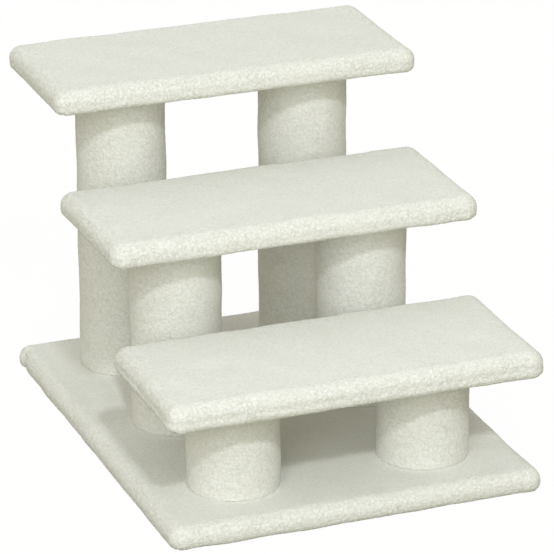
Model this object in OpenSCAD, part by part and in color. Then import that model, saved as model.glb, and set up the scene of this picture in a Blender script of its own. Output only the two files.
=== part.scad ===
// Three-step pet stairs: a base board and three tread boards wrapped in sherpa plush,
// carried on six plush-covered cardboard posts and held together by bolts and studs.
// X runs side to side, Y from the front to the back, and Z up from the floor.

/* [Stairs] */
// Length of each tread, from side to side, with its plush
tread_w = 350; // [300:5:450]
// Depth of each tread, from front to back, with its plush
tread_d = 156; // [140:1:190]
// Distance from one tread to the next, from front to back
tread_pitch = 149; // [125:1:170]
// Height from one tread to the next
tread_rise = 94.5; // [80:0.5:130]
// How far the top tread reaches past the back of the base
back_overhang = 4; // [0:1:20]

/* [Boards] */
// Thickness of the particle board in the base and treads
board_t = 15; // [12:0.5:18]
// Radius of the board corners, seen from above
board_corner_r = 8; // [4:1:14]

/* [Plush] */
// Thickness of the plush on the tops and round the edges
pile_t = 3.5; // [2.5:0.5:6]
// Thickness of the flattened plush under the base
base_hem_t = 2.5; // [2:0.5:4]
// Width of the plush turned under each board
hem_w = 30; // [20:1:32]
// Radius of the soft upper edges
edge_r = 8; // [5:0.5:10]
// Radius of the soft lower edges
hem_edge_r = 6; // [4:0.5:8]

/* [Posts] */
// Length of the two front posts
low_post_l = 92.5; // [80:0.5:130]
// Distance from the end of a tread to the middle of its post
post_inset = 84; // [60:1:95]
// Outer diameter of the cardboard tube
tube_d = 76; // [60:1:80]
// Wall of the cardboard tube
tube_wall = 3.5; // [2.5:0.5:5]
// Thickness of the plush sleeve on the posts
sleeve_t = 4; // [3:0.5:5]
// Thickness of the plug in each end of a post
plug_t = 15; // [13:1:20]

/* [Fasteners] */
// Thread diameter of the bolts and studs
thread_d = 8; // [6:0.5:9]
// Length of the base bolts under the head
bolt_l = 30; // [27:1:38]
// Diameter of the bolt head
bolt_head_d = 14; // [12:0.5:17]
// Height of the bolt head
bolt_head_h = 4.4; // [3:0.2:5]
// Hexagon key size of the bolt head
hex_key = 5; // [4:0.5:6]
// Diameter of the washers
washer_d = 20; // [18:0.5:22]
// Thickness of the washers
washer_t = 1.5; // [1:0.1:2]
// Diameter of the tee nut flange
nut_flange_d = 22; // [18:0.5:24]
// Thickness of the tee nut flange
nut_flange_t = 1.5; // [1:0.1:2]
// Outer diameter of the tee nut barrel
nut_barrel_d = 10; // [9.5:0.1:11]
// Length of the tee nut barrel
nut_barrel_l = 10; // [7:0.5:11]
// Length of the studs between the posts and treads
stud_l = 34; // [32:1:38]

/* [Staples] */
// Length of a staple's crown
staple_w = 10; // [8:0.5:13]
// Length of a staple's legs, with the crown
staple_leg_l = 8; // [7:0.5:9]
// Thickness of the staple wire
staple_wire = 0.8; // [0.6:0.1:1]
// Greatest distance between staples
staple_pitch = 60; // [45:1:90]

/* [Hidden] */
// Gap left between glued or pressed pieces
glue_gap = 0.1;
// Gap round a bolt or stud in its clearance hole
bolt_gap = 0.5;
// Gap between a thread and its nut
thread_gap = 0.05;
// Gap round a washer in its pocket
pocket_gap = 2;
// Depth of the pocket under the base, above the bolt head
pocket_cover = 1;
// Depth that a staple's crown is pulled into the plush
staple_sink = 1.2;
// Distance from the edge of the hem to its staples
staple_inset = 8;
// Depth of the key socket in a bolt head
hex_socket_h = 2.4;
// Least plush over a board's edge
least_skin = 0.8;
// Length that the studs reach past the plug's tee nut
stud_tail = 1;
// How far a cut runs past the surface that it opens
over = 1;
// Facets of the soft outer edges
soft_fn = 32;
// Facets of true round parts
round_fn = 64;
// Sides of a hexagon
hex_sides = 6;
// Number of treads
treads = 3;

plush_colour = [0.89, 0.89, 0.85];
board_colour = [0.74, 0.62, 0.45];
card_colour = [0.66, 0.54, 0.40];
plug_colour = [0.78, 0.67, 0.50];
zinc_colour = [0.75, 0.76, 0.78];

// The base is as wide as the treads and starts flush with the front one.
stairs_d = (treads - 1) * tread_pitch + tread_d;
front_y = -stairs_d / 2;
base_w = tread_w;
base_d = stairs_d - back_overhang;
base_mid_y = front_y + base_d / 2;
post_x = tread_w / 2 - post_inset;
base_t = base_hem_t + board_t + pile_t;
tread_t = pile_t + board_t + pile_t;
tube_bore_d = tube_d - 2 * tube_wall;
sleeve_bore_d = tube_d + 2 * glue_gap;
sleeve_d = tube_d + 2 * sleeve_t;
plug_d = tube_bore_d - 2 * glue_gap;
bolt_hole_d = thread_d + 2 * bolt_gap;
nut_bore_d = thread_d + 2 * thread_gap;
nut_hole_d = nut_barrel_d + 2 * glue_gap;
pocket_d = washer_d + pocket_gap;
pocket_h = pocket_cover + bolt_head_h + washer_t;
washer_z = base_hem_t + pocket_h - washer_t;
side_t = pile_t + glue_gap;
// Above this radius a soft edge would leave the board's own edge bare.
thin_pile_t = min(pile_t, base_hem_t);
edge_r_limit = (sqrt(2) * pile_t - least_skin) / (sqrt(2) - 1);
hem_edge_r_limit = (sqrt(2) * thin_pile_t - least_skin) / (sqrt(2) - 1);
soft_edge_r = min(edge_r, edge_r_limit, tread_t / 2);
soft_hem_r = min(hem_edge_r, hem_edge_r_limit, tread_t / 2);
slab_corner_r = max(board_corner_r + pile_t, soft_edge_r, soft_hem_r);

// The steps count from 0 at the front, and a side is -1 on the left and 1 on the right.

// Middle of a tread
function tread_y(step) = front_y + tread_d / 2 + step * tread_pitch;

// Length of the posts under a tread
function post_l(step) = low_post_l + step * tread_rise;

// Height of a tread's underside
function tread_z(step) = base_t + post_l(step);

// Number of staples along one side of a hem
function staple_count(side) = max(2, ceil(side / staple_pitch));

// Places and turns of the staples round a hem that is w by d: [x, y, turn]
function staple_places(w, d) = let (
    half_w = w / 2 - side_t - hem_w + staple_inset,
    half_d = d / 2 - side_t - hem_w + staple_inset,
    n_w = staple_count(2 * half_w),
    n_d = staple_count(2 * half_d)
) concat(
    [for (s = [-1, 1], i = [0 : n_w - 1]) [(2 * i + 1 - n_w) * half_w / n_w, s * half_d, 0]],
    [for (s = [-1, 1], i = [0 : n_d - 1]) [s * half_w, (2 * i + 1 - n_d) * half_d / n_d, 90]]
);

// Places its children at both posts of one tread.
module at_posts_of(step) {
    for (side = [-1, 1])
        translate([side * post_x, tread_y(step), 0]) children();
}

// Flat plate with rounded corners, seen from above, on z = 0
module plate(w, d, t, corner_r) {
    r = min(corner_r, w / 2 - glue_gap, d / 2 - glue_gap);
    linear_extrude(t) {
        square([w - 2 * r, d], center = true);
        square([w, d - 2 * r], center = true);
        for (x = [-1, 1], y = [-1, 1])
            translate([x * (w / 2 - r), y * (d / 2 - r)]) circle(r, $fn = round_fn);
    }
}

// Soft-edged slab with rounded corners, on z = 0
module soft_slab(w, d, t) {
    hull() for (x = [-1, 1], y = [-1, 1])
        translate([x * (w / 2 - slab_corner_r), y * (d / 2 - slab_corner_r), 0]) {
            translate([0, 0, t - soft_edge_r]) soft_ring(soft_edge_r);
            translate([0, 0, soft_hem_r]) soft_ring(soft_hem_r);
        }
}

// Round edge of one corner of a soft slab
module soft_ring(r) {
    rotate_extrude($fn = soft_fn) translate([slab_corner_r - r, 0])
        intersection() {
            circle(r, $fn = soft_fn);
            translate([0, -r]) square([r, 2 * r]);
        }
}

// One staple with its crown down on z = 0 and its legs up, grown by grow on every side
module staple(grow = 0) {
    translate([-staple_w / 2 - grow, -staple_wire / 2 - grow, -grow])
        cube([staple_w + 2 * grow, staple_wire + 2 * grow, staple_wire + 2 * grow]);
    for (side = [-1, 1])
        translate([side * (staple_w - staple_wire) / 2 - staple_wire / 2 - grow, -staple_wire / 2 - grow, 0])
            cube([staple_wire + 2 * grow, staple_wire + 2 * grow, staple_leg_l + grow]);
}

// All the staples of a hem that is w by d, with its underside on z = 0
module staples(w, d) {
    for (p = staple_places(w, d))
        translate([p[0], p[1], staple_sink]) rotate(p[2]) staple();
}

// Slots that those staples leave in the plush and the board
module staple_slots(w, d) {
    for (p = staple_places(w, d))
        translate([p[0], p[1], 0]) rotate(p[2]) {
            translate([0, 0, staple_sink]) staple(glue_gap);
            translate([-staple_w / 2 - glue_gap, -staple_wire / 2 - glue_gap, -over])
                cube([staple_w + 2 * glue_gap, staple_wire + 2 * glue_gap, over + staple_sink + glue_gap]);
        }
}

// Plush wrapped over a board and turned under its edges, with its underside on z = 0
module cover(w, d, hem_t) {
    t = hem_t + board_t + pile_t;
    board_gap_w = w - 2 * pile_t;
    board_gap_d = d - 2 * pile_t;
    open_w = w - 2 * side_t - 2 * hem_w;
    open_d = d - 2 * side_t - 2 * hem_w;
    difference() {
        soft_slab(w, d, t);
        translate([0, 0, hem_t]) plate(board_gap_w, board_gap_d, board_t, board_corner_r + glue_gap);
        translate([0, 0, -over]) plate(open_w, open_d, hem_t + 2 * over, board_corner_r);
        staple_slots(w, d);
    }
}

// Particle board inside that plush
module board(w, d) {
    plate(w - 2 * side_t, d - 2 * side_t, board_t, board_corner_r);
}

module base_board() {
    color(board_colour) difference() {
        translate([0, base_mid_y, base_hem_t]) board(base_w, base_d);
        translate([0, base_mid_y, 0]) staple_slots(base_w, base_d);
        for (step = [0 : treads - 1]) at_posts_of(step) {
            translate([0, 0, base_hem_t - over])
                cylinder(d = pocket_d, h = pocket_h + over, $fn = round_fn);
            cylinder(d = bolt_hole_d, h = base_t + over, $fn = round_fn);
        }
    }
}

module base_cover() {
    color(plush_colour) difference() {
        translate([0, base_mid_y, 0]) cover(base_w, base_d, base_hem_t);
        for (step = [0 : treads - 1]) at_posts_of(step)
            cylinder(d = bolt_hole_d, h = base_t + over, $fn = round_fn);
    }
}

module base_staples() {
    color(zinc_colour) translate([0, base_mid_y, 0]) staples(base_w, base_d);
}

module tread_board(step) {
    z = tread_z(step);
    color(board_colour) difference() {
        translate([0, tread_y(step), z + pile_t]) board(tread_w, tread_d);
        translate([0, tread_y(step), z]) staple_slots(tread_w, tread_d);
        at_posts_of(step) {
            translate([0, 0, z]) cylinder(d = nut_hole_d, h = tread_t, $fn = round_fn);
            translate([0, 0, z + pile_t + board_t - nut_flange_t - glue_gap])
                cylinder(d = nut_flange_d + 2 * glue_gap, h = nut_flange_t + over, $fn = round_fn);
        }
    }
}

module tread_cover(step) {
    color(plush_colour) translate([0, tread_y(step), tread_z(step)])
        cover(tread_w, tread_d, pile_t);
}

module tread_lining(step) {
    lining_w = tread_w - 2 * side_t - 2 * hem_w - 2 * glue_gap;
    lining_d = tread_d - 2 * side_t - 2 * hem_w - 2 * glue_gap;
    color(plush_colour) difference() {
        translate([0, tread_y(step), tread_z(step)])
            plate(lining_w, lining_d, pile_t, board_corner_r);
        at_posts_of(step) translate([0, 0, tread_z(step) - over])
            cylinder(d = bolt_hole_d, h = pile_t + 2 * over, $fn = round_fn);
    }
}

module tread_staples(step) {
    color(zinc_colour) translate([0, tread_y(step), tread_z(step)]) staples(tread_w, tread_d);
}

// Places its children at the foot of one post.
module at_foot(step, side) {
    translate([side * post_x, tread_y(step), base_t]) children();
}

module tube(step, side) {
    color(card_colour) at_foot(step, side) difference() {
        cylinder(d = tube_d, h = post_l(step), $fn = round_fn);
        translate([0, 0, -over])
            cylinder(d = tube_bore_d, h = post_l(step) + 2 * over, $fn = round_fn);
    }
}

module sleeve(step, side) {
    color(plush_colour) at_foot(step, side) difference() {
        cylinder(d = sleeve_d, h = post_l(step), $fn = round_fn);
        translate([0, 0, -over])
            cylinder(d = sleeve_bore_d, h = post_l(step) + 2 * over, $fn = round_fn);
    }
}

// Wooden plug on z = 0, bored for the barrel of its tee nut
module plug() {
    color(plug_colour) difference() {
        cylinder(d = plug_d, h = plug_t, $fn = round_fn);
        translate([0, 0, -over]) cylinder(d = nut_hole_d, h = plug_t + 2 * over, $fn = round_fn);
    }
}

module foot_plug(step, side) {
    at_foot(step, side) plug();
}

module head_plug(step, side) {
    at_foot(step, side) translate([0, 0, post_l(step) - plug_t]) plug();
}

// Tee nut with its flange up and the underside of the flange on z = 0
module tee_nut() {
    color(zinc_colour) difference() {
        union() {
            cylinder(d = nut_flange_d, h = nut_flange_t, $fn = round_fn);
            translate([0, 0, -nut_barrel_l])
                cylinder(d = nut_barrel_d, h = nut_barrel_l + nut_flange_t, $fn = round_fn);
        }
        translate([0, 0, -nut_barrel_l - over])
            cylinder(d = nut_bore_d, h = nut_barrel_l + nut_flange_t + 2 * over, $fn = round_fn);
    }
}

module foot_tee_nuts() {
    for (step = [0 : treads - 1]) at_posts_of(step)
        translate([0, 0, base_t + plug_t]) tee_nut();
}

module head_tee_nuts() {
    for (step = [0 : treads - 1]) at_posts_of(step)
        translate([0, 0, tread_z(step) - plug_t]) mirror([0, 0, 1]) tee_nut();
}

module tread_tee_nuts() {
    for (step = [0 : treads - 1]) at_posts_of(step)
        translate([0, 0, tread_z(step) + pile_t + board_t - nut_flange_t]) tee_nut();
}

module base_bolts() {
    color(zinc_colour) for (step = [0 : treads - 1]) at_posts_of(step)
        translate([0, 0, washer_z]) difference() {
            union() {
                cylinder(d = thread_d, h = bolt_l, $fn = round_fn);
                translate([0, 0, -bolt_head_h]) cylinder(d = bolt_head_d, h = bolt_head_h, $fn = round_fn);
            }
            translate([0, 0, -bolt_head_h - over])
                cylinder(d = hex_key / cos(180 / hex_sides), h = over + hex_socket_h, $fn = hex_sides);
        }
}

module base_washers() {
    color(zinc_colour) for (step = [0 : treads - 1]) at_posts_of(step)
        translate([0, 0, washer_z]) difference() {
            cylinder(d = washer_d, h = washer_t, $fn = round_fn);
            translate([0, 0, -over]) cylinder(d = bolt_hole_d, h = washer_t + 2 * over, $fn = round_fn);
        }
}

module tread_studs() {
    color(zinc_colour) for (step = [0 : treads - 1]) at_posts_of(step)
        translate([0, 0, tread_z(step) - plug_t - nut_flange_t - stud_tail])
            cylinder(d = thread_d, h = stud_l, $fn = round_fn);
}

base_board();
base_cover();
base_staples();
tread_board(0);  // low_tread_board
tread_cover(0);  // low_tread_cover
tread_lining(0);  // low_tread_lining
tread_staples(0);  // low_tread_staples
tread_board(1);  // mid_tread_board
tread_cover(1);  // mid_tread_cover
tread_lining(1);  // mid_tread_lining
tread_staples(1);  // mid_tread_staples
tread_board(2);  // top_tread_board
tread_cover(2);  // top_tread_cover
tread_lining(2);  // top_tread_lining
tread_staples(2);  // top_tread_staples
tube(0, -1);  // low_left_tube
tube(0, 1);  // low_right_tube
tube(1, -1);  // mid_left_tube
tube(1, 1);  // mid_right_tube
tube(2, -1);  // top_left_tube
tube(2, 1);  // top_right_tube
sleeve(0, -1);  // low_left_sleeve
sleeve(0, 1);  // low_right_sleeve
sleeve(1, -1);  // mid_left_sleeve
sleeve(1, 1);  // mid_right_sleeve
sleeve(2, -1);  // top_left_sleeve
sleeve(2, 1);  // top_right_sleeve
foot_plug(0, -1);  // low_left_foot_plug
foot_plug(0, 1);  // low_right_foot_plug
foot_plug(1, -1);  // mid_left_foot_plug
foot_plug(1, 1);  // mid_right_foot_plug
foot_plug(2, -1);  // top_left_foot_plug
foot_plug(2, 1);  // top_right_foot_plug
head_plug(0, -1);  // low_left_head_plug
head_plug(0, 1);  // low_right_head_plug
head_plug(1, -1);  // mid_left_head_plug
head_plug(1, 1);  // mid_right_head_plug
head_plug(2, -1);  // top_left_head_plug
head_plug(2, 1);  // top_right_head_plug
foot_tee_nuts();
head_tee_nuts();
tread_tee_nuts();
base_bolts();
base_washers();
tread_studs();
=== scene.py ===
"""Looks of the plush pet stairs: their plush covers, linings and sleeves, and a finish for every other piece.

Everything is in metres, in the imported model's own frame: X to the right, Y to the back and Z up from the floor.
"""

from __future__ import annotations

import logging
import math
from collections.abc import Iterable, Mapping
from dataclasses import dataclass, field
from enum import Enum

import bmesh
import bpy
from bmesh.types import BMEdge, BMesh, BMVert
from bpy.types import ID, Material, Node, NodeSocket, Object, World
from mathutils import Matrix, Vector, noise
from mathutils.kdtree import KDTree


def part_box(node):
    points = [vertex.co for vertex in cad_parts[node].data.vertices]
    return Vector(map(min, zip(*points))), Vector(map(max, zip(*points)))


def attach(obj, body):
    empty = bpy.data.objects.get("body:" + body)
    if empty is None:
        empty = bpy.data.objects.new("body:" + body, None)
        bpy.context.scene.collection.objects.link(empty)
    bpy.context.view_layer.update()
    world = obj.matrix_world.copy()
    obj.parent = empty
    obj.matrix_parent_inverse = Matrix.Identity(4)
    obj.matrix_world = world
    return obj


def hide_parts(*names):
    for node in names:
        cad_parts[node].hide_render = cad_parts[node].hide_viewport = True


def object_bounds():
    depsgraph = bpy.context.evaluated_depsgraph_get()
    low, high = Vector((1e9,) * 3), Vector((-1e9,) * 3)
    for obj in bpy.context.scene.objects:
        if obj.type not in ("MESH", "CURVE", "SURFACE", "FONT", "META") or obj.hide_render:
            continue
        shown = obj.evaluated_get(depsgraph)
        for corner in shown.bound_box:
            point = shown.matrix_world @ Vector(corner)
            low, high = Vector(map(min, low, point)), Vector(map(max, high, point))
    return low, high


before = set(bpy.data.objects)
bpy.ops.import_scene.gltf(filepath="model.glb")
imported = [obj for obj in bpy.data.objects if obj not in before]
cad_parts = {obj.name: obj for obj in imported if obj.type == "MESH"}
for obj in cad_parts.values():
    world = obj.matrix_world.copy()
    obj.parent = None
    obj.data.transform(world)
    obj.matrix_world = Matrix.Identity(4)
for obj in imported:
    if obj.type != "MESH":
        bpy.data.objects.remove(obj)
CAD_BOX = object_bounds()
BODY = "root"
MM = 0.001
FLOOR_GAP = 0.05 * MM
RIM_SEGMENTS = 6
HOLE_SEGMENTS = 24
NOISE_SEED = 1
WHITE = (1.0, 1.0, 1.0)
UP = Vector((0.0, 0.0, 1.0))
LOG = logging.getLogger("pet_stairs")

Colour = tuple[float, float, float]


class Step(Enum):
    """The three treads, from the front to the back."""

    LOW = "low"
    MID = "mid"
    TOP = "top"


class Side(Enum):
    """The two posts under a tread."""

    LEFT = "left"
    RIGHT = "right"


class Value:
    """A number in a material's node tree. Python's operators on it add Math nodes."""

    def __init__(self, shader: Shader, socket: NodeSocket) -> None:
        """Keeps the material's builder and the socket that gives the number."""
        self.shader = shader
        self.socket = socket

    def _math(self, operation: str, first: Number, second: Number = 0.0) -> Value:
        """Adds one Math node and returns what it gives."""
        made = self.shader.node("Math", {0: first, 1: second}, operation=operation)
        return Value(self.shader, made.outputs[0])

    def __add__(self, other: Number) -> Value:
        """Adds."""
        return self._math("ADD", self, other)

    def __sub__(self, other: Number) -> Value:
        """Takes the other away from this."""
        return self._math("SUBTRACT", self, other)

    def __rsub__(self, other: Number) -> Value:
        """Takes this away from the other."""
        return self._math("SUBTRACT", other, self)

    def __mul__(self, other: Number) -> Value:
        """Multiplies."""
        return self._math("MULTIPLY", self, other)

    def part(self) -> Value:
        """Leaves only what is past the whole number."""
        return self._math("FRACT", self)

    def wave(self) -> Value:
        """Gives a wave from 0 to 1 that repeats with each whole number."""
        return self._math("SINE", self * (2 * math.pi)) * 0.5 + 0.5

    def larger(self, other: Number) -> Value:
        """Gives the larger of the two."""
        return self._math("MAXIMUM", self, other)

    def spread(self, low: float, high: float, to_low: float = 0.0, to_high: float = 1.0) -> Value:
        """Maps low to to_low and high to to_high, and stays between the two."""
        made = self.shader.node("MapRange", {0: self, 1: low, 2: high, 3: to_low, 4: to_high}, clamp=True)
        return Value(self.shader, made.outputs[0])


Number = Value | float


class Shader:
    """The node tree of a new material or world, to which finishes add their nodes."""

    def __init__(self, owner: Material | World) -> None:
        """Empties the owner's node tree."""
        owner.use_nodes = True
        self.owner = owner
        self.tree = owner.node_tree
        self.tree.nodes.clear()

    @classmethod
    def material(cls, name: str) -> Shader:
        """Starts a new material."""
        return cls(bpy.data.materials.new(name))

    def node(self, kind: str, inputs: Mapping[int | str, object] | None = None, **settings: object) -> Node:
        """Adds one node of any type.

        Args:
            kind: The node's type, without ShaderNode in front.
            inputs: What its sockets hold: a number, a colour, a Value or another node's socket.
            settings: Its own properties.

        Returns:
            The new node.
        """
        made = self.tree.nodes.new(f"ShaderNode{kind}")
        for name, value in settings.items():
            setattr(made, name, value)
        for key, value in (inputs or {}).items():
            self._feed(made.inputs[key], value)
        return made

    def _feed(self, socket: NodeSocket, value: object) -> None:
        """Links a value or a socket to a socket, or sets the socket to a plain value."""
        if isinstance(value, Value):
            value = value.socket
        if isinstance(value, NodeSocket):
            self.tree.links.new(value, socket)
        elif socket.type == "RGBA" and isinstance(value, tuple):
            socket.default_value = (*value, 1.0)
        else:
            socket.default_value = value

    def split(self, socket: NodeSocket) -> list[Value]:
        """Gives the three numbers of a place or a colour."""
        return [Value(self, part) for part in self.node("SeparateXYZ", {0: socket}).outputs]

    def places(self, offset: Iterable[float] = (0.0, 0.0, 0.0), size: float = 1.0,
               stretch: Iterable[float] = (1.0, 1.0, 1.0)) -> NodeSocket:
        """Gives the piece's own coordinates.

        Args:
            offset: What is added to the coordinates first.
            size: The length that becomes one unit of the pattern.
            stretch: How much longer the pattern is along each axis.

        Returns:
            The socket with the coordinates.
        """
        start = self.node("TexCoord").outputs["Object"]
        moved = self.node("Mapping", {"Vector": start, "Location": tuple(offset)})
        scale = tuple(1.0 / (size * along) for along in stretch)
        return self.node("Mapping", {"Vector": moved.outputs[0], "Scale": scale}).outputs[0]

    def mottle(self, places: NodeSocket, detail: float = 3.0, roughness: float = 0.5) -> Value:
        """Adds a noise texture over the given places."""
        made = self.node("TexNoise", {"Vector": places, "Scale": 1.0, "Detail": detail, "Roughness": roughness})
        return Value(self, made.outputs[0])

    def cells(self, places: NodeSocket, feature: str = "F1") -> Mapping[str, NodeSocket]:
        """Adds a cell texture over the given places and returns its outputs."""
        return self.node("TexVoronoi", {"Vector": places, "Scale": 1.0}, feature=feature).outputs

    def blend(self, share: Number, first: object, second: object) -> NodeSocket:
        """Blends two colours by a share and returns the colour's socket."""
        return self.node("Mix", {0: share, 6: first, 7: second}, data_type="RGBA").outputs[2]

    def bump(self, height: Value, depth: float, strength: float = 1.0) -> NodeSocket:
        """Adds a Bump node for a height that spans a depth in metres."""
        return self.node("Bump", {"Strength": strength, "Distance": depth, "Height": height}).outputs[0]

    def show(self, surface: NodeSocket) -> None:
        """Makes a shader the surface of the material, or of the world."""
        kind = "OutputWorld" if isinstance(self.owner, World) else "OutputMaterial"
        self.node(kind, {"Surface": surface})

    def mixed(self, share: Number, first: Node, second: Node) -> Node:
        """Mixes two shaders by a share."""
        return self.node("MixShader", {0: share, 1: first.outputs[0], 2: second.outputs[0]})

    def finish(self, **inputs: object) -> Material:
        """Adds a Principled BSDF with these inputs, named in lower case with _ for a space. Returns the material."""
        named = {name.replace("_", " ").title().replace("Ior", "IOR"): value for name, value in inputs.items()}
        self.show(self.node("BsdfPrincipled", named).outputs[0])
        return self.owner


@dataclass(frozen=True)
class PlushFinish:
    """Cream-white sherpa plush: curled yarn in tufts, with painted shade darkening the partings between them and the
    grooves between the curls.

    Attributes:
        parting: Colour down in the partings: the yarn's colour darkened by painted shade.
        crown: Colour on the crowns of the tufts.
        soil: Colour that the broad patches lean to.
        patch: Width of the broad patches.
        tuft: Width of one tuft of curled yarn.
        curls: How tightly the yarn curls in a tuft.
        groove: Share of a curl's height that falls into the groove beside it.
        parting_width: Width of the partings between tufts, in tufts.
        fibre: Width of a fibre.
        heights: What curls, tufts and fibres add to the height of the pile.
        mean_height: Mean of that height.
        yarn_depth: Depth of the grooves between the curls.
        bare_shade: Share of the crowns' colour where the mesh has a parting.
        crown_shade: What a crown of the mesh adds to that share.
        flat_contrast: How much the height adds to it where the pile lies flat.
        nap_contrast: How much more it adds where the pile stands up.
        flat_bump: How much of the height shows as bump where the pile lies flat.
        soiled: Largest share of the patches' colour.
        roughness: Roughness of the pile.
        sheen: How much the fibres catch glancing light.
    """

    parting: Colour = (0.40, 0.375, 0.26)
    crown: Colour = (0.765, 0.762, 0.712)
    soil: Colour = (0.725, 0.715, 0.635)
    patch: float = 45 * MM
    tuft: float = 3.8 * MM
    curls: float = 2.4
    groove: float = 0.35
    parting_width: float = 0.16
    fibre: float = 0.5 * MM
    heights: tuple[float, float, float] = (0.3, 0.45, 0.25)
    mean_height: float = 0.75
    yarn_depth: float = 0.38 * MM
    bare_shade: float = 0.7
    crown_shade: float = 0.4
    flat_contrast: float = 0.17
    nap_contrast: float = 0.28
    flat_bump: float = 0.2
    soiled: float = 0.5
    roughness: float = 0.95
    sheen: float = 0.1

    def material(self) -> Material:
        """Makes the material."""
        shader = Shader.material("plush")
        crown, nap = (
            Value(shader, shader.node("Attribute", attribute_name=name).outputs["Fac"])
            for name in (Pile.CROWN, Pile.NAP)
        )
        tufts = shader.places(size=self.tuft)
        own = shader.split(shader.cells(tufts)["Color"])[0]
        yarn = (shader.mottle(tufts, detail=1.0) * self.curls + own).wave().spread(0.0, self.groove)
        edge = Value(shader, shader.cells(tufts, "DISTANCE_TO_EDGE")["Distance"]).spread(0.0, self.parting_width)
        fibre = shader.mottle(shader.places(size=self.fibre), detail=2.0)
        height = yarn * self.heights[0] + edge * self.heights[1] + fibre * self.heights[2]
        contrast = nap * self.nap_contrast + self.flat_contrast
        # Painted shade: the colour darkens towards the partings colour where the crowns fall away, down the partings
        # between tufts and the grooves between curls.
        shade = crown * self.crown_shade + self.bare_shade + (height - self.mean_height) * contrast
        colour = shader.blend(shade.spread(0.0, 1.0), self.parting, self.crown)
        wander = shader.mottle(shader.places(size=self.patch), detail=2.0)
        colour = shader.blend(wander.spread(0.45, 0.75, 0.0, self.soiled), colour, self.soil)
        return shader.finish(
            base_color=colour,
            roughness=self.roughness,
            sheen_weight=self.sheen,
            specular_ior_level=0.0,
            normal=shader.bump(height * (nap * (1.0 - self.flat_bump) + self.flat_bump), self.yarn_depth),
        )


@dataclass(frozen=True)
class ChipFinish:
    """Raw particle board, pressed from flat chips of wood.

    Attributes:
        dark: Darkest chips.
        middle: Most of the chips.
        pale: Palest chips.
        chip: Width of a chip.
    """

    dark: Colour = (0.34, 0.22, 0.11)
    middle: Colour = (0.56, 0.41, 0.24)
    pale: Colour = (0.72, 0.57, 0.38)
    chip: float = 2.6 * MM

    def material(self) -> Material:
        """Makes the material."""
        shader = Shader.material("chip_board")
        along = shader.cells(shader.places(size=self.chip, stretch=(1.0, 2.8, 1.0)))
        across = shader.cells(shader.places(offset=(0.3, 0.7, 0.0), size=self.chip, stretch=(2.4, 1.0, 1.0)))
        turn = shader.mottle(shader.places(size=4 * self.chip)).spread(0.45, 0.55)
        chips = shader.blend(turn, along["Color"], across["Color"])
        tone = shader.split(chips)[0]
        dust = shader.mottle(shader.places(size=0.5 * MM), detail=4.0)
        share = tone * 0.8 + dust * 0.2
        colour = shader.blend(share.spread(0.1, 0.45), self.dark, self.middle)
        colour = shader.blend(share.spread(0.45, 0.9), colour, self.pale)
        height = tone * 0.4 + dust * 0.6
        return shader.finish(
            base_color=colour,
            roughness=tone.spread(0.0, 1.0, 0.7, 0.88),
            normal=shader.bump(height, 0.15 * MM, 0.7),
        )


@dataclass(frozen=True)
class CardFinish:
    """Kraft cardboard wound in a spiral round a post's middle line.

    Attributes:
        centre: Place of the post's middle line.
        pale: Most of the paper.
        dark: Fibres and the joints between turns.
        pitch: Rise of one turn of the strip.
        joint: Width of the joint between turns, as a share of the pitch.
    """

    centre: Vector
    pale: Colour = (0.47, 0.33, 0.19)
    dark: Colour = (0.30, 0.19, 0.10)
    pitch: float = 70 * MM
    joint: float = 0.012

    def material(self) -> Material:
        """Makes the material."""
        shader = Shader.material("kraft_card")
        offset = (-self.centre.x, -self.centre.y, 0.0)
        around = shader.node("TexGradient", {"Vector": shader.places(offset)}, gradient_type="RADIAL")
        turns = Value(shader, around.outputs["Fac"]) + shader.split(shader.places())[2] * (1.0 / self.pitch)
        joint = turns.part().spread(0.0, self.joint, 1.0, 0.0)
        fibres = shader.mottle(shader.places(size=0.6 * MM, stretch=(1.0, 1.0, 4.0)), detail=5.0)
        cloudy = shader.mottle(shader.places(size=14 * MM), detail=2.0)
        share = (fibres * 0.5 + cloudy * 0.3 + joint * 0.6).spread(0.25, 1.0)
        return shader.finish(
            base_color=shader.blend(share, self.pale, self.dark),
            roughness=fibres.spread(0.3, 0.7, 0.72, 0.86),
            normal=shader.bump(fibres * 0.5 - joint, 0.2 * MM, 0.8),
        )


@dataclass(frozen=True)
class PlugFinish:
    """Raw wooden plugs with growth rings that run along X.

    Attributes:
        early: Wood between the rings.
        late: Wood of the rings.
        ring: Distance between rings.
    """

    early: Colour = (0.66, 0.49, 0.29)
    late: Colour = (0.47, 0.30, 0.15)
    ring: float = 3.2 * MM

    def material(self) -> Material:
        """Makes the material."""
        shader = Shader.material("raw_wood")
        bend = shader.mottle(shader.places(size=40 * MM, stretch=(3.0, 1.0, 1.0)), detail=2.0)
        wave = (shader.split(shader.places(size=self.ring))[1] + bend * 6.0).part().spread(0.55, 1.0)
        pores = shader.mottle(shader.places(size=0.3 * MM, stretch=(14.0, 1.0, 1.0)), detail=4.0)
        share = (wave * 0.7 + pores * 0.5 - 0.15).spread(0.0, 1.0)
        return shader.finish(
            base_color=shader.blend(share, self.early, self.late),
            roughness=pores.spread(0.3, 0.7, 0.55, 0.75),
            normal=shader.bump(1.0 - share, 0.12 * MM, 0.8),
        )


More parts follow.
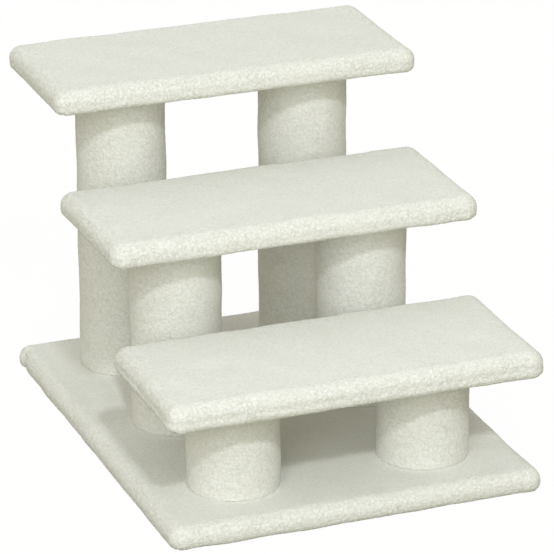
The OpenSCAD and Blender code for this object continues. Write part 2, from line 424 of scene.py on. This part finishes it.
@dataclass(frozen=True)
class ZincFinish:
    """Bright zinc plating, a little clouded and scratched.

    Attributes:
        bright: Colour of clean zinc.
        dull: Colour of clouded zinc.
    """

    bright: Colour = (0.70, 0.72, 0.75)
    dull: Colour = (0.52, 0.54, 0.56)

    def material(self) -> Material:
        """Makes the material."""
        shader = Shader.material("zinc_plate")
        cloud = shader.mottle(shader.places(size=4 * MM), detail=4.0, roughness=0.6)
        scratch = shader.mottle(shader.places(size=0.25 * MM, stretch=(8.0, 1.0, 1.0)), detail=3.0)
        return shader.finish(
            base_color=shader.blend(cloud.spread(0.35, 0.7), self.bright, self.dull),
            metallic=1.0,
            roughness=(cloud * 0.5 + scratch * 0.5).spread(0.3, 0.7, 0.24, 0.46),
            normal=shader.bump(scratch, 0.02 * MM, 0.6),
        )


@dataclass(frozen=True)
class Block:
    """A box along the axes: the room that a piece takes.

    Attributes:
        low: Its lowest corner.
        high: Its highest corner.
    """

    low: Vector
    high: Vector

    @classmethod
    def of(cls, node: str) -> Block:
        """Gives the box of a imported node."""
        low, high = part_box(node)
        return cls(Vector(low), Vector(high))

    @property
    def size(self) -> Vector:
        """Its width, depth and height."""
        return self.high - self.low

    @property
    def centre(self) -> Vector:
        """Its middle."""
        return (self.low + self.high) / 2

    def grown(self, by: float) -> Block:
        """Gives the box with each face moved out."""
        step = Vector((by, by, by))
        return Block(self.low - step, self.high + step)

    def clear(self, place: Vector, corner_r: float) -> float:
        """Gives how far a place is outside the box with its upright corners rounded, or less than 0 inside."""
        past = [abs(place[axis] - self.centre[axis]) - self.size[axis] / 2 for axis in range(3)]
        inner = Vector((past[0] + corner_r, past[1] + corner_r))
        aside = Vector((max(inner.x, 0.0), max(inner.y, 0.0))).length + min(max(inner), 0.0) - corner_r
        return math.hypot(aside, past[2]) if min(aside, past[2]) > 0 else max(aside, past[2])


@dataclass(frozen=True)
class Pile:
    """Curly sherpa pile: tufts of about one size, each of a few curls, with partings between them.

    Attributes:
        seed: Place in the noise from which this pile is taken.
        tuft: Distance between tufts.
        curls: How tightly the yarn curls in a tuft.
        curl_rate: How often the curls turn, per tuft.
        bend: How far the rows of tufts bend out of line, in tufts.
        bend_rate: How often they bend, per tuft.
        reach: Radius of a tuft's dome, in tufts.
        parting: Width of the partings, in tufts.
        depth: Depth of the partings.
        rise: How far the crowns stand over the plain surface.
        ripple: Height of the broad, soft waves in the plush.
        ripple_length: Length of those waves.
        CROWN: The mesh attribute for how near a place is to a crown; the colour follows it, with painted shade down
            in the partings and round a cover's rim.
        NAP: The mesh attribute for how much of the pile shows.
        MEAN: Where plain plush lies between the partings and the crowns.
        SHARES: What domes, partings and curls add to the height.
        OWN_STEP: Step in the noise from one tuft's curls to the next one's.
    """

    CROWN = "crown"
    NAP = "nap"
    MEAN = 0.5
    SHARES = (0.3, 0.3, 0.4)
    OWN_STEP = 3.1

    seed: Vector
    tuft: float = 4.2 * MM
    curls: float = 1.2
    curl_rate: float = 1.2
    bend: float = 0.5
    bend_rate: float = 0.6
    reach: float = 0.8
    parting: float = 0.35
    depth: float = 0.6 * MM
    rise: float = 0.25 * MM
    ripple: float = 0.9 * MM
    ripple_length: float = 32 * MM

    def crown(self, place: Vector) -> float:
        """Gives how near a place is to a crown of the pile, from 0 in a parting to 1."""
        at = place / self.tuft + self.seed
        at = at + noise.noise_vector(at * self.bend_rate) * self.bend
        near, centres = noise.voronoi(at)
        dome = 1.0 - min(near[0] / self.reach, 1.0) ** 2
        parting = min((near[1] - near[0]) / self.parting, 1.0)
        own = noise.cell(centres[0] * self.OWN_STEP)
        curl = 0.5 + 0.5 * math.cos(2 * math.pi * (self.curls * noise.noise(at * self.curl_rate) + own))
        return sum(share * height for share, height in zip(self.SHARES, (dome, parting, curl)))

    def wave(self, place: Vector) -> float:
        """Gives the height of the broad waves at a place."""
        return noise.noise(place / self.ripple_length + self.seed) * self.ripple


@dataclass(frozen=True)
class PostSpot:
    """Where one post stands, and how the plush above and below is pressed by it.

    Attributes:
        middle: Place of the post's middle line.
        radius: Outer radius of the post with its plush.
        foot: Height of its foot.
        head: Height of its head.
        edge: Width over which the pile recovers round the post.
        bank: Half the width of the ring of pile that banks up against its foot.
    """

    middle: Vector
    radius: float
    foot: float
    head: float
    edge: float = 0.8 * MM
    bank: float = 2.0 * MM

    @classmethod
    def of(cls, step: Step, side: Side) -> PostSpot:
        """Reads a post's place from its sleeve's node."""
        room = Block.of(f"{step.value}_{side.value}_sleeve")
        return cls(room.centre, room.size.x / 2, room.low.z, room.high.z)

    def away(self, place: Vector) -> float:
        """Gives how far a place is outside the post, seen from above."""
        return (place.xy - self.middle.xy).length - self.radius

    def frees(self, place: Vector) -> float:
        """Gives how free the pile is of this post, from 0 where it is pressed to 1."""
        if min(abs(place.z - self.foot), abs(place.z - self.head)) > self.edge:
            return 1.0
        return max(0.0, min(1.0, self.away(place) / self.edge))

    def banks(self, place: Vector) -> float:
        """Gives how high the pile banks up against the foot at a place, from 0 to 1."""
        if abs(place.z - self.foot) > self.edge:
            return 0.0
        return rounded(1.0 - abs(self.away(place) - self.edge) / self.bank)


class StapleMarks:
    """Where the staples of one hem pull the plush in.

    Attributes:
        CROWN: Height over the staples' lowest point within which their crowns lie.
        STEP: Distance between the places that are kept along a crown.
        FLAT: How far from the wire a dimple stays at its full depth.
        REACH: How far it goes on from there until it ends.
    """

    CROWN = 1 * MM
    STEP = 1.5 * MM
    FLAT = 1.6 * MM
    REACH = 4.5 * MM

    def __init__(self, node: str) -> None:
        """Reads the places of the staples' crowns from their node."""
        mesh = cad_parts[node].data
        crown = min(vert.co.z for vert in mesh.vertices) + self.CROWN
        places = []
        for edge in mesh.edges:
            first, second = (mesh.vertices[index].co for index in edge.vertices)
            if max(first.z, second.z) < crown:
                steps = max(1, math.ceil((second - first).length / self.STEP))
                places += [first.lerp(second, index / steps) for index in range(steps + 1)]
        self.tree = KDTree(len(places))
        for index, place in enumerate(places):
            self.tree.insert(place, index)
        self.tree.balance()

    def press(self, place: Vector) -> float:
        """Gives how far the plush is pulled in at a place, from 0 to 1 at the wire."""
        return rounded(1.0 - max(0.0, self.tree.find(place)[2] - self.FLAT) / self.REACH)


def rounded(share: float) -> float:
    """Eases a share in and out, from 0 to 1."""
    held = max(0.0, min(1.0, share))
    return held * held * (3.0 - 2.0 * held)


def slab(room: Block, corner_r: float, top_r: float = 0.0, bottom_r: float = 0.0) -> BMesh:
    """Makes a closed slab with rounded corners, seen from above, and soft rims.

    Args:
        room: The box that it fills.
        corner_r: Radius of its upright corners.
        top_r: Radius of its upper rim, or 0 for a sharp one.
        bottom_r: Radius of its lower rim, or 0 for a sharp one.

    Returns:
        The slab.
    """
    bm = bmesh.new()
    bmesh.ops.create_cube(bm, size=1.0)
    bmesh.ops.scale(bm, vec=room.size, verts=bm.verts)
    bmesh.ops.translate(bm, vec=room.centre, verts=bm.verts)
    upright = [edge for edge in bm.edges if abs((edge.verts[0].co - edge.verts[1].co).z) > room.size.z / 2]
    soften(bm, upright, corner_r)
    for height, radius in ((room.high.z, top_r), (room.low.z, bottom_r)):
        if radius:
            rim = [edge for edge in bm.edges if all(abs(vert.co.z - height) < radius / 2 for vert in edge.verts)]
            soften(bm, rim, radius)
    return bm


def soften(bm: BMesh, edges: list[BMEdge], radius: float) -> None:
    """Rounds edges."""
    bmesh.ops.bevel(
        bm, geom=edges, offset=radius, offset_type="OFFSET", affect="EDGES", segments=RIM_SEGMENTS, profile=0.5,
        material=-1,
    )


def rods(places: Iterable[Vector], radius: float, length: float) -> BMesh:
    """Makes upright rods in one mesh, as cutters for holes."""
    bm = bmesh.new()
    for place in places:
        bmesh.ops.create_cone(
            bm, cap_ends=True, segments=HOLE_SEGMENTS, radius1=radius, radius2=radius, depth=length,
            matrix=Matrix.Translation(place),
        )
    return bm


def as_object(name: str, bm: BMesh) -> Object:
    """Turns a bmesh into an object in the scene, and frees it."""
    mesh = bpy.data.meshes.new(name)
    bm.to_mesh(mesh)
    bm.free()
    return placed(name, mesh)


def placed(name: str, data: ID) -> Object:
    """Puts a new object with this data into the scene."""
    made = bpy.data.objects.new(name, data)
    bpy.context.scene.collection.objects.link(made)
    return made


def modified(solid: BMesh, steps: Iterable[tuple[str, Mapping[str, object]]]) -> BMesh:
    """Runs modifiers on a bmesh.

    Args:
        solid: The solid, which is used up.
        steps: Each modifier's type and its settings.

    Returns:
        What the modifiers make of it.
    """
    piece = as_object("modified", solid)
    for kind, settings in steps:
        modifier = piece.modifiers.new(kind.lower(), kind)
        for name, value in settings.items():
            setattr(modifier, name, value)
    shown = piece.evaluated_get(bpy.context.evaluated_depsgraph_get())
    result = bmesh.new()
    result.from_mesh(shown.to_mesh())
    shown.to_mesh_clear()
    discard(piece)
    return result


def discard(piece: Object) -> None:
    """Removes an object that only helped, with its mesh."""
    mesh = piece.data
    bpy.data.objects.remove(piece)
    bpy.data.meshes.remove(mesh)


def even(solid: BMesh, voxel: float) -> BMesh:
    """Covers a solid, which is used up, with an even mesh, whose faces are a voxel wide."""
    return modified(solid, [("REMESH", {"mode": "VOXEL", "voxel_size": voxel})])


def carve(solid: BMesh, cutters: Iterable[BMesh]) -> BMesh:
    """Cuts solids out of a solid, one after another. All of them are used up."""
    tools = [as_object("cutter", cutter) for cutter in cutters]
    cut = {"operation": "DIFFERENCE", "solver": "MANIFOLD"}
    result = modified(solid, [("BOOLEAN", {**cut, "object": tool}) for tool in tools])
    for tool in tools:
        discard(tool)
    return result


@dataclass
class PlushPiece:
    """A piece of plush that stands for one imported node.

    Attributes:
        node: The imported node.
        under: The node that it is stretched over.
        finish: The plush's material.
        posts: The posts that press on it.
        gap: Gap between the plush and what it covers.
        thinnest: How thin the plush may get over a hard edge.
        hole_r: Radius of the holes for bolts or studs.
        SEEDS: How many stretches of noise there are.
        SEED_STEPS: How far one lies from the next along each axis.
    """

    SEEDS = 997
    SEED_STEPS = (1.0, 0.37, 0.11)

    node: str
    under: str
    finish: Material
    posts: list[PostSpot] = field(default_factory=list)
    gap: float = 0.1 * MM
    thinnest: float = 0.4 * MM
    hole_r: float = 4.5 * MM

    def __post_init__(self) -> None:
        """Reads the room of the node, and takes a stretch of noise for this piece alone."""
        self.room = Block.of(self.node)
        start = sum(ord(letter) * (index + 1) for index, letter in enumerate(self.node)) % self.SEEDS
        self.pile = Pile(Vector([start * step for step in self.SEED_STEPS]))

    def grow(self, bm: BMesh) -> None:
        """Raises the pile on the piece's even mesh."""
        crowns = bm.verts.layers.float.new(Pile.CROWN)
        naps = bm.verts.layers.float.new(Pile.NAP)
        bm.normal_update()
        moves = []
        for vert in bm.verts:
            free = min((post.frees(vert.co) for post in self.posts), default=1.0)
            nap = free * self.reach(vert.co, vert.normal)
            crown = self.pile.crown(vert.co)
            # The crown attribute sets the colour, darker where it is lower; the painted shade round a cover's rim is
            # taken off it here.
            vert[crowns] = Pile.MEAN + nap * (crown - Pile.MEAN) - free * self.painted_shade(vert.normal)
            vert[naps] = nap
            height = nap * (self.pile.rise - self.pile.depth * (1.0 - crown))
            push = self.pile.wave(vert.co) + self.form(vert.co, vert.normal)
            height += free * push + self.banked(vert.co, vert.normal)
            moves.append(vert.normal * max(height, min(0.0, self.thinnest - self.clear(vert.co))))
        for vert, move in zip(bm.verts, moves):
            vert.co += move
            vert.co.z = max(vert.co.z, CAD_BOX[0][2] + FLOOR_GAP)

    def reach(self, place: Vector, normal: Vector) -> float:
        """Gives how much of the pile shows at a place with a normal, from 0 to 1."""
        return 1.0

    def form(self, place: Vector, normal: Vector) -> float:
        """Gives how far the plush itself is pushed out at a place with a normal."""
        return 0.0

    def clear(self, place: Vector) -> float:
        """Gives how far a place is from a hard edge under the plush."""
        return math.inf

    def painted_shade(self, normal: Vector) -> float:
        """Gives how much painted shade darkens the pile's colour at a normal."""
        return 0.0

    def banked(self, place: Vector, normal: Vector) -> float:
        """Gives how high the pile banks up against a post at a place with a normal."""
        return 0.0

    def hand_over(self, bm: BMesh, flat: tuple[float, float], waste: float = 0.0) -> None:
        """Makes the object, gives it its finish, attaches it to the body and hides the imported node.

        Args:
            bm: The finished mesh.
            flat: Width and length of the cloth before it was fixed; not used.
            waste: Area cut out of the cloth's corners; not used.
        """
        for face in bm.faces:
            face.smooth = True
        made = as_object(f"{self.node}_plush", bm)
        made.data.materials.append(self.finish)
        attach(made, BODY)
        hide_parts(self.node)
        flat[0] * flat[1] - waste
        made.data.calc_loop_triangles()
        LOG.info("%s: %d triangles", made.name, len(made.data.loop_triangles))


@dataclass
class BoardCover(PlushPiece):
    """Plush wrapped over a board, turned under its edges and stapled there.

    Attributes:
        hem: Width of the plush turned under.
        hem_tilt: How upright a normal on the hem is at most.
        corner_r: Radius of the upright corners.
        top_r: Radius of the soft upper rim.
        bottom_r: Radius of the soft lower rim.
        cloth: Thickness of the plush at the upright corners.
        holes: Places of the bolts that pass through.
        voxel: Width of the faces of the mesh.
        top_share: How much of the pile shows on the top, where it lies flatter.
        hem_share: How much of it shows underneath.
        edge_share: How much of what lies flat rises again at the sides.
        edge_reach: How far in from the sides it does.
        flat_tilt: How upright a normal is where the pile begins to lie flat, and where it does.
        plump: How far the sides swell at half their height.
        hang: How far the plush hangs below the lower rim.
        hang_reach: How far in from the sides it hangs.
        hang_top: Share of the height below which it hangs.
        fold: Height of the bunched plush at the corners.
        fold_reach: How far from a corner the plush is bunched.
        fold_fall: How fast the bunches die out towards the top.
        fold_swing: Mean share of the bunches, and how far it varies from place to place.
        dents: Places along the edges where the plush is pulled in.
        dent: How far it is pulled in there.
        dent_reach: How far along the edge it is pulled in.
        rim_shade: How much painted shade darkens the colour round the upper rim, where the pile bends over.
        rim_tilt: How upright the normal is where that painted shade is deepest.
        rim_full: How deep it would be there without a limit of 1.
        rim_fall: How fast it fades from there.
        bank: Height of the pile that banks up against the feet of the posts.
        bank_swing: Mean share of that height, and how far it varies from place to place.
        staples: The node of the staples in the hem.
        dimple: How far the staples pull the plush in.
        pleat: Depth of the pleats across the hem's corners.
        pleat_width: Width of those pleats.
    """

    hem: float = 30 * MM
    hem_tilt: float = -0.5
    corner_r: float = 11.5 * MM
    top_r: float = 10 * MM
    bottom_r: float = 5.5 * MM
    cloth: float = 3 * MM
    holes: tuple[Vector, ...] = ()
    voxel: float = 1.1 * MM
    top_share: float = 0.36
    hem_share: float = 0.5
    edge_share: float = 0.7
    edge_reach: float = 24 * MM
    flat_tilt: tuple[float, float] = (0.4, 0.9)
    plump: float = 1.0 * MM
    hang: float = 0.8 * MM
    hang_reach: float = 16 * MM
    hang_top: float = 0.4
    fold: float = 1.0 * MM
    fold_reach: float = 24 * MM
    fold_fall: float = 1.6
    fold_swing: tuple[float, float] = (0.7, 0.9)
    dents: tuple[Vector, ...] = ()
    dent: float = 2.2 * MM
    dent_reach: float = 9 * MM
    rim_shade: float = 0.18
    rim_tilt: float = 0.66
    rim_full: float = 1.4
    rim_fall: float = 3.2
    bank: float = 1.1 * MM
    bank_swing: tuple[float, float] = (0.8, 0.7)
    staples: str = ""
    dimple: float = 2.0 * MM
    pleat: float = 1.4 * MM
    pleat_width: float = 2.6 * MM

    def __post_init__(self) -> None:
        """Reads the places of the board and the staples as well."""
        super().__post_init__()
        self.cavity = Block.of(self.under).grown(self.gap)
        self.inner_r = self.corner_r - self.cloth
        self.marks = StapleMarks(self.staples)

    def build(self) -> None:
        """Makes the cover and hands it over."""
        across, deep = Vector((self.hem, self.hem, 0.0)), UP * self.room.size.z
        mouth = Block(self.cavity.low + across - deep, self.cavity.high - across - deep / 2)
        cutters = [slab(self.cavity, self.inner_r), slab(mouth, self.inner_r)]
        if self.holes:
            cutters.append(rods(self.holes, self.hole_r, self.room.size.z))
        bm = even(slab(self.room, self.corner_r, self.top_r, self.bottom_r), self.voxel)
        self.grow(bm)
        bm = carve(bm, cutters)
        turned = self.room.size.z + self.hem
        flat = (self.room.size.x + 2 * turned, self.room.size.y + 2 * turned)
        self.hand_over(bm, flat, waste=4 * turned * turned)

    def reach(self, place: Vector, normal: Vector) -> float:
        """Gives how much of the pile shows: all of it at the sides, and less on the top and underneath."""
        share = self.top_share if normal.z > 0 else self.hem_share
        share += (1.0 - share) * self.edge_share * rounded(1.0 - min(self.away(place)) / self.edge_reach)
        start, end = self.flat_tilt
        return 1.0 + (share - 1.0) * rounded((abs(normal.z) - start) / (end - start))

    def clear(self, place: Vector) -> float:
        """Gives how far a place is from the board."""
        return self.cavity.clear(place, self.inner_r)

    def away(self, place: Vector) -> Vector:
        """Gives how far a place is in from the sides, along X and along Y."""
        return Vector((self.room.size.x / 2 - abs(place.x - self.room.centre.x),
                       self.room.size.y / 2 - abs(place.y - self.room.centre.y)))

    def banked(self, place: Vector, normal: Vector) -> float:
        """Banks the pile up, unevenly, against the feet of the posts on the top."""
        foot = max((post.banks(place) for post in self.posts), default=0.0) if normal.z > self.flat_tilt[1] else 0.0
        mean, swing = self.bank_swing
        return self.bank * foot * (mean + swing * noise.noise(place / (2.0 * self.pile.tuft)))

    def painted_shade(self, normal: Vector) -> float:
        """Darkens the colour with painted shade round the upper rim, where the pile bends over."""
        return self.rim_shade * rounded(self.rim_full - self.rim_fall * abs(normal.z - self.rim_tilt))

    def form(self, place: Vector, normal: Vector) -> float:
        """Swells the sides, lets the lower rim hang, bunches the corners up and pulls the plush in at its dents."""
        away = self.away(place)
        height = (place.z - self.room.low.z) / self.room.size.z
        near = rounded(1.0 - away.length / self.fold_reach)
        mean, swing = self.fold_swing
        push = near * rounded(self.fold_fall - self.fold_fall * height) * self.fold
        push *= mean + swing * noise.noise(place / self.fold_reach + self.pile.seed)
        push += self.plump * (1.0 - abs(normal.z)) * (1.0 - (2.0 * height - 1.0) ** 2)
        push += self.hang * rounded(2.0 * (self.hang_top - height)) * rounded(1.0 - min(away) / self.hang_reach)
        for dent in self.dents:
            push -= self.dent * rounded(1.0 - (place.xy - dent.xy).length / self.dent_reach)
        if normal.z < self.hem_tilt:
            push -= self.dimple * self.marks.press(place)
            if max(away) < self.hem + self.corner_r:
                push -= self.pleat * rounded(1.0 - abs(away.x - away.y) / self.pleat_width)
        return push


@dataclass
class TreadLining(PlushPiece):
    """Plush panel that closes the underside of a tread, inside its hem.

    Attributes:
        corner_r: Radius of its corners.
        rim_r: Radius of its lower rim.
        voxel: Width of the faces of the mesh.
        share: How much of the pile shows.
    """

    corner_r: float = 8 * MM
    rim_r: float = 1.2 * MM
    voxel: float = 1.3 * MM
    share: float = 0.7

    def build(self) -> None:
        """Makes the lining and hands it over."""
        studs = [Vector((*post.middle.xy, self.room.centre.z)) for post in self.posts]
        bm = even(slab(self.room, self.corner_r, bottom_r=self.rim_r), self.voxel)
        self.grow(bm)
        bm = carve(bm, [rods(studs, self.hole_r, 3 * self.room.size.z)])
        self.hand_over(bm, (self.room.size.x, self.room.size.y))

    def reach(self, place: Vector, normal: Vector) -> float:
        """Gives how much of the pile shows: only on the underside."""
        return self.share * rounded(-normal.z)


@dataclass
class PostSleeve(PlushPiece):
    """Plush sleeve round a post's tube, with its seam at the back.

    Attributes:
        face: Width of the faces of the mesh.
        share: How much of the pile shows.
        end: Height over which the plush draws in at the head and the foot.
        draw: How far it draws in there.
        seam: Half the width of the parting along the seam.
        seam_depth: Depth of the parting along the seam.
        seam_angle: Direction of the seam, from +X.
    """

    face: float = 1.25 * MM
    share: float = 0.8
    end: float = 1.8 * MM
    draw: float = 0.3 * MM
    seam: float = 2.0 * MM
    seam_depth: float = 1.4 * MM
    seam_angle: float = math.pi / 2

    def __post_init__(self) -> None:
        """Reads the size of the tube as well."""
        super().__post_init__()
        self.inner_r = Block.of(self.under).size.x / 2 + self.gap

    def build(self) -> None:
        """Makes the sleeve and hands it over."""
        outer = self.room.size.x / 2
        steps = round(2 * math.pi * outer / self.face)
        rows = round(self.room.size.z / self.face)
        bm = bmesh.new()
        bmesh.ops.create_cone(
            bm, cap_ends=False, segments=steps, radius1=outer, radius2=outer, depth=self.room.size.z,
            matrix=Matrix.Translation(self.room.centre),
        )
        upright = [edge for edge in bm.edges if not edge.is_boundary]
        bmesh.ops.subdivide_edges(bm, edges=upright, cuts=rows - 1)
        self.grow(bm)
        self._close(bm)
        bmesh.ops.recalc_face_normals(bm, faces=bm.faces)
        self.hand_over(bm, (2 * math.pi * outer, self.room.size.z))

    def _close(self, bm: BMesh) -> None:
        """Turns the outer wall's two rims in and joins them by a plain inner wall."""
        made = bmesh.ops.extrude_edge_only(bm, edges=[edge for edge in bm.edges if edge.is_boundary])["geom"]
        for vert in (part for part in made if isinstance(part, BMVert)):
            out = vert.co.xy - self.room.centre.xy
            vert.co.xy = self.room.centre.xy + out.normalized() * self.inner_r
        rims = [part for part in made if isinstance(part, BMEdge) and part.is_boundary]
        bmesh.ops.bridge_loops(bm, edges=rims)

    def reach(self, place: Vector, normal: Vector) -> float:
        """Gives how much of the pile shows: none on the flat ends."""
        return self.share * rounded(1.0 - abs(normal.z))

    def clear(self, place: Vector) -> float:
        """Gives how far a place is from the tube."""
        return (place.xy - self.room.centre.xy).length - self.inner_r

    def form(self, place: Vector, normal: Vector) -> float:
        """Draws the plush in at both ends and parts it along the seam."""
        out = place.xy - self.room.centre.xy
        from_end = min(place.z - self.room.low.z, self.room.high.z - place.z)
        draw = self.draw * (1.0 - rounded(from_end / self.end))
        wander = noise.noise(Vector((0.0, 0.0, place.z / self.pile.ripple_length)) + self.pile.seed) * self.seam
        turn = math.atan2(out.y, out.x) - self.seam_angle
        away = abs(math.remainder(turn, 2 * math.pi) * out.length + wander)
        return -draw - self.seam_depth * rounded(1.0 - away / self.seam)


def dress(node: str, material: Material) -> None:
    """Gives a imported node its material."""
    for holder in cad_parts[node].material_slots:
        holder.material = material
    LOG.info("%s: %s", node, material.name)


@dataclass
class Stairs:
    """The stairs: a base, and three treads that stand on two posts each.

    Attributes:
        base_voxel: Width of the faces of the base cover's mesh.
        dent_back: How far from the back the base's plush is pulled in at the left.
        low_hang: How far the plush hangs below the rim of the low tread.
        fasteners: The nodes of the tee nuts, bolts, washers and studs.
    """

    base_voxel: float = 1.6 * MM
    dent_back: float = 20 * MM
    low_hang: float = 3.2 * MM
    fasteners: tuple[str, ...] = (
        "foot_tee_nuts", "head_tee_nuts", "tread_tee_nuts", "base_bolts", "base_washers", "tread_studs"
    )

    def __post_init__(self) -> None:
        """Makes the materials that several pieces share."""
        self.plush = PlushFinish().material()
        self.chips = ChipFinish().material()
        self.wood = PlugFinish().material()
        self.zinc = ZincFinish().material()

    def build(self) -> None:
        """Makes or dresses every piece."""
        self._base()
        for step in Step:
            self._tread(step)
            for side in Side:
                self._post(step, side)
        for node in self.fasteners:
            dress(node, self.zinc)

    def _base(self) -> None:
        """Makes the base: a board in its plush cover, open underneath inside the hem."""
        posts = [PostSpot.of(step, side) for step in Step for side in Side]
        bolts = tuple(Vector((*post.middle.xy, post.foot)) for post in posts)
        room = Block.of("base_cover")
        dent = Vector((room.low.x, room.high.y - self.dent_back, room.centre.z))
        cover = BoardCover("base_cover", "base_board", self.plush, posts, staples="base_staples", holes=bolts,
                           dents=(dent,), voxel=self.base_voxel, hang=0.0)
        cover.build()
        dress("base_board", self.chips)
        dress("base_staples", self.zinc)

    def _tread(self, step: Step) -> None:
        """Makes a tread: a board in its plush cover, with a lining underneath."""
        name = f"{step.value}_tread"
        posts = [PostSpot.of(step, side) for side in Side]
        cover = BoardCover(f"{name}_cover", f"{name}_board", self.plush, posts, staples=f"{name}_staples")
        if step is Step.LOW:
            cover.hang = self.low_hang
        cover.build()
        TreadLining(f"{name}_lining", f"{name}_board", self.plush, posts).build()
        dress(f"{name}_board", self.chips)
        dress(f"{name}_staples", self.zinc)

    def _post(self, step: Step, side: Side) -> None:
        """Makes a post: a cardboard tube with a plug in each end and a plush sleeve."""
        name = f"{step.value}_{side.value}"
        PostSleeve(f"{name}_sleeve", f"{name}_tube", self.plush).build()
        dress(f"{name}_tube", CardFinish(Block.of(f"{name}_tube").centre).material())
        dress(f"{name}_foot_plug", self.wood)
        dress(f"{name}_head_plug", self.wood)


@dataclass(frozen=True)
class Lamp:
    """One soft lamp that looks at the stairs.

    Attributes:
        name: Its name.
        azimuth: Its direction, in degrees from the front to the right.
        elevation: Its height over the floor, in degrees.
        distance: Its distance from the stairs' middle.
        width: The width of its square face.
        power: Its power in watts.
        colour: The colour of its light.
    """

    name: str
    azimuth: float
    elevation: float
    distance: float
    width: float
    power: float
    colour: Colour

    def build(self, target: Vector) -> None:
        """Makes the lamp."""
        data = bpy.data.lights.new(self.name, "AREA")
        data.size = self.width
        data.energy = self.power
        data.color = self.colour
        lamp = placed(self.name, data)
        back = direction(self.azimuth, self.elevation)
        lamp.location = target + back * self.distance
        lamp.rotation_euler = back.to_track_quat("Z", "Y").to_euler()


def direction(azimuth: float, elevation: float) -> Vector:
    """Gives the unit vector towards an azimuth from the front and an elevation, in degrees."""
    turn, tilt = math.radians(azimuth), math.radians(elevation)
    return Vector((math.sin(turn) * math.cos(tilt), -math.cos(turn) * math.cos(tilt), math.sin(tilt)))


@dataclass(frozen=True)
class Studio:
    """White floor, plain light and the camera.

    Attributes:
        place: Where the camera stands.
        azimuth: The camera's direction, in degrees from the front to the right.
        elevation: Its height over the stairs, in degrees.
        roll: Its turn about its own line of sight, in degrees.
        lens: Its focal length for a sensor 36 mm wide, in millimetres.
        floor_width: The width of the floor.
        low_sky: Colour of the light from the sides.
        high_sky: Colour of the light from straight above.
        floor_colour: Colour of the floor to the light that it throws back.
        floor_white: How much of the floor is plain white to the camera; the rest shows the shadow.
        floor_glow: Strength of that white.
        stand_inset: How far inside the base's outline the floor is clear.
        lamps: The lamps.
    """

    place: tuple[float, float, float] = (-1.1629, -3.0624, 1.4669)
    azimuth: float = -20.925
    elevation: float = 21.929
    roll: float = -0.175
    lens: float = 250.1
    floor_width: float = 8.0
    low_sky: Colour = (0.50, 0.475, 0.36)
    high_sky: Colour = (0.87, 0.88, 0.885)
    floor_colour: Colour = (0.40, 0.385, 0.305)
    floor_white: float = 0.93
    floor_glow: float = 1.045
    stand_inset: float = 4 * MM
    lamps: tuple[Lamp, ...] = (
        Lamp("key", -12.0, 42.0, 5.0, 0.3, 88.0, (0.87, 0.94, 1.0)),
        Lamp("front_fill", -32.0, 22.0, 5.0, 2.4, 95.0, (0.92, 0.96, 1.0)),
    )

    def build(self) -> None:
        """Makes the floor, the world, the lamps and the camera."""
        middle = (Vector(CAD_BOX[0]) + Vector(CAD_BOX[1])) / 2
        self._floor()
        self._world()
        for lamp in self.lamps:
            lamp.build(middle)
        self._camera()
        bpy.context.scene.view_settings.view_transform = "Standard"

    def _floor(self) -> None:
        """Makes the floor, which is plain white to the camera but for a soft shadow."""
        bm = bmesh.new()
        bmesh.ops.create_grid(bm, x_segments=1, y_segments=1, size=self.floor_width / 2)
        floor = as_object("floor", bm)
        shader = Shader.material("floor")
        matt = shader.node("BsdfDiffuse", {"Color": self.floor_colour})
        white = shader.node("Emission", {"Color": WHITE, "Strength": self.floor_glow})
        clear = shader.node("BsdfTransparent")
        under = Value(shader, shader.node("NewGeometry").outputs["Backfacing"])
        above = shader.mixed(self._seen(shader) * self.floor_white, matt, white)
        shader.show(shader.mixed(under.larger(self._stood_on(shader)), above, clear).outputs[0])
        floor.data.materials.append(shader.owner)

    def _stood_on(self, shader: Shader) -> Value:
        """Gives 1 where the base stands, so that light from below reaches the underside, and 0 round it."""
        stand = Block.of("base_cover").grown(-self.stand_inset)
        share: Number = 1.0
        for along, size in zip(shader.split(shader.places(offset=-stand.centre)), stand.size.xy):
            half = size / 2
            share = along.larger(0.0 - along).spread(half, half + MM, 1.0, 0.0) * share
        return share

    @staticmethod
    def _seen(shader: Shader) -> Value:
        """Gives 1 where the camera, a mirror or a clear piece sees the surface, and 0 for other light."""
        path = shader.node("LightPath")
        camera, glossy, clear = (
            Value(shader, path.outputs[name]) for name in ("Is Camera Ray", "Is Glossy Ray", "Is Transmission Ray")
        )
        return camera.larger(glossy).larger(clear)

    def _world(self) -> None:
        """Makes the light from all round, and a white backdrop behind it."""
        shader = Shader(bpy.data.worlds.new("studio"))
        low, high, white = (
            shader.node("Background", {"Color": colour})
            for colour in (self.low_sky, self.high_sky, WHITE)
        )
        light = shader.mixed(shader.split(shader.places())[2].spread(0.0, 1.0), low, high)
        shader.show(shader.mixed(self._seen(shader), light, white).outputs[0])
        bpy.context.scene.world = shader.owner

    def _camera(self) -> None:
        """Makes the camera at the photograph's viewing angle."""
        data = bpy.data.cameras.new("camera")
        data.lens = self.lens
        camera = placed("camera", data)
        camera.location = self.place
        level = direction(self.azimuth, self.elevation).to_track_quat("Z", "Y").to_matrix()
        camera.rotation_euler = (level @ Matrix.Rotation(math.radians(self.roll), 3, "Z")).to_euler()
        bpy.context.scene.camera = camera


def main() -> None:
    """Builds the stairs and the studio round them."""
    logging.basicConfig(level=logging.INFO, format="%(message)s")
    noise.seed_set(NOISE_SEED)
    Stairs().build()
    Studio().build()


if __name__ == "__main__":
    main()
